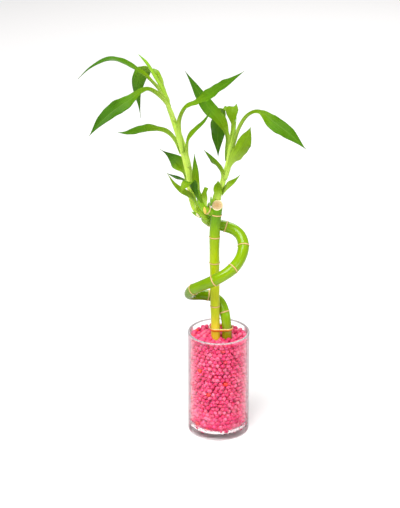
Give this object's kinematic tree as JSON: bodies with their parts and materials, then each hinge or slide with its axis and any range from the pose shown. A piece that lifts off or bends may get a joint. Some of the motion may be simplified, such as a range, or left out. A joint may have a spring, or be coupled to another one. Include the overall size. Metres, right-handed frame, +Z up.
{
  "type": "lucky bamboo",
  "caption": "Lucky bamboo in a clear glass cylinder vase of pink gravel: a straight cut cane, a cane spiralled round it and arching leafy shoots on top.",
  "frame": {"origin": "centre of the vase's flat foot, on the surface that it stands on", "axes": "+Z up along the vase's axis, +X to the right and +Y to the back as seen from the front, where the taller shoot leans to the left"},
  "size_m": [0.234, 0.0963, 0.4395],
  "materials": {
    "clear_glass": "clear, polished",
    "pink_gravel": "dyed, satin",
    "straight_cane_skin": "waxy",
    "spiral_cane_skin": "glossy, waxy",
    "gold_tie": "shiny foil",
    "shoot_stem": "satin, waxy",
    "leaf_blade": "satin, waxy"
  },
  "bodies": {
    "root": {"vase": "clear_glass", "gravel": "pink_gravel", "straight_cane": "straight_cane_skin", "spiral_cane": "spiral_cane_skin", "tie": "gold_tie", "stem_a": "shoot_stem", "leaf_a_long_arching": "leaf_blade", "leaf_a_drooping": "leaf_blade", "leaf_a_broad_low": "leaf_blade", "leaf_a_level": "leaf_blade", "leaf_a_right": "leaf_blade", "leaf_a_thin_right": "leaf_blade", "leaf_a_short_broad": "leaf_blade", "leaf_a_short_dark": "leaf_blade", "leaf_a_lowest": "leaf_blade", "stem_b": "shoot_stem", "leaf_b_folded": "leaf_blade", "leaf_b_upright": "leaf_blade", "leaf_b_blunt": "leaf_blade", "stem_c": "shoot_stem", "leaf_c_broad_left": "leaf_blade", "leaf_c_drooping": "leaf_blade", "leaf_c_funnel": "leaf_blade", "leaf_c_long_arching": "leaf_blade", "leaf_c_broad_right": "leaf_blade", "leaf_c_short_left": "leaf_blade", "leaf_c_short_right": "leaf_blade", "leaf_c_low_sheath": "leaf_blade"}
  },
  "joints": []
}
